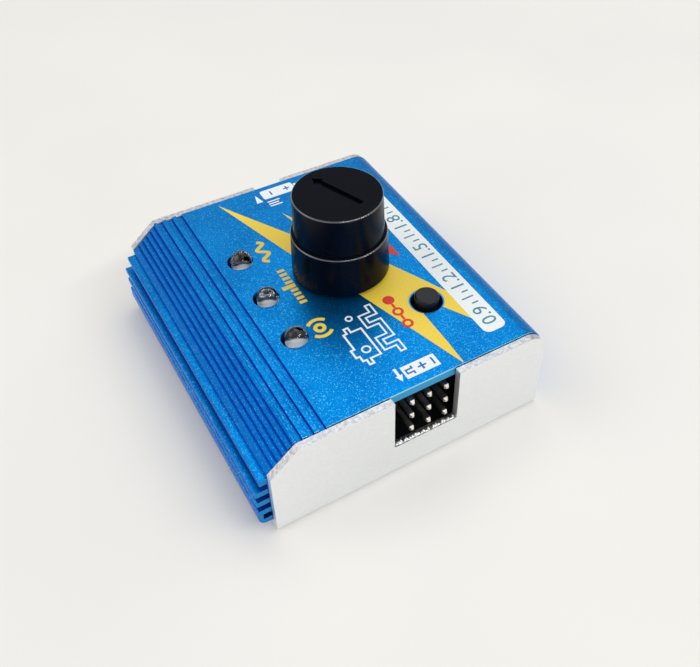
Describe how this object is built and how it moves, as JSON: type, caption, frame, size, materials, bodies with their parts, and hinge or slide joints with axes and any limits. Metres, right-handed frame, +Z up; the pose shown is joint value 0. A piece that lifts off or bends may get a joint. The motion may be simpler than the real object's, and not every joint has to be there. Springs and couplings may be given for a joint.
{
  "type": "servo tester",
  "caption": "Palm-size servo tester: finned aluminium case with a turning knob, push button, indicator lamps and pin headers for servo plugs at the front and the supply at the rear.",
  "frame": {"origin": "bottom centre of the whole object, on the surface it rests on", "axes": "+X to the long rounded edge, away from the side fins; +Y to the rear, where the supply plugs in; +Z up through the panel"},
  "size_m": [0.0418, 0.0484, 0.027],
  "materials": {
    "blue_anodised": "blue anodised, bead blasted",
    "satin_tray": "satin silver sheet",
    "screw_steel": "zinc plated",
    "board": "black solder mask",
    "knob_plastic": "moulded black",
    "shaft_metal": "turned",
    "spring_metal": "sprung phosphor bronze",
    "cast_metal": "zinc casting",
    "phenolic": "phenolic board",
    "tinned_metal": "tinned",
    "nickel": "nickel plated",
    "button_plastic": "moulded black",
    "black_nylon": "moulded",
    "spring_steel": "spring steel",
    "clear_epoxy": "clear epoxy",
    "header_pins": "tinned",
    "chip_epoxy": "moulded epoxy",
    "capacitor_aluminium": "drawn aluminium",
    "crystal_can": "nickel can",
    "resistor_black": "glazed",
    "ceramic_tan": "ceramic",
    "panel_yellow": "screen printed ink",
    "panel_white": "screen printed ink",
    "panel_red": "screen printed ink",
    "panel_teal": "screen printed ink"
  },
  "bodies": {
    "case": {"top_shell": "blue_anodised", "base_tray": "satin_tray", "case_screws": "screw_steel", "circuit_board": "board", "pot_housing": "cast_metal", "pot_wafer": "phenolic", "pot_terminals": "tinned_metal", "pot_washer": "nickel", "pot_nut": "nickel", "switch_base": "black_nylon", "switch_dome": "spring_steel", "switch_cover": "tinned_metal", "switch_legs": "tinned_metal", "lamp_lenses": "clear_epoxy", "lamp_leads": "tinned_metal", "output_header_housing": "black_nylon", "output_header_pins": "header_pins", "input_header_housing": "black_nylon", "input_header_pins": "header_pins", "microcontroller": "chip_epoxy", "microcontroller_legs": "tinned_metal", "regulator": "chip_epoxy", "regulator_tabs": "tinned_metal", "capacitor_foot": "black_nylon", "capacitor_can": "capacitor_aluminium", "resonator": "crystal_can", "chip_resistors": "resistor_black", "chip_capacitors": "ceramic_tan", "chip_end_caps": "tinned_metal"},
    "dial": {"knob": "knob_plastic", "pot_shaft": "shaft_metal", "pot_wiper": "spring_metal"},
    "button": {"button_plunger": "button_plastic"}
  },
  "joints": [
    {"name": "knob_turn", "type": "hinge", "parent": "case", "child": "dial", "pos_m": [0.00385, 0.0008, 0.0142], "axis": [0, 0, 1], "range_deg": [-81.4, 218.6]},
    {"name": "button_press", "type": "slide", "parent": "case", "child": "button", "axis": [0, 0, -1], "range_m": [0, 0.00025], "stiffness_N_per_m": 800}
  ]
}
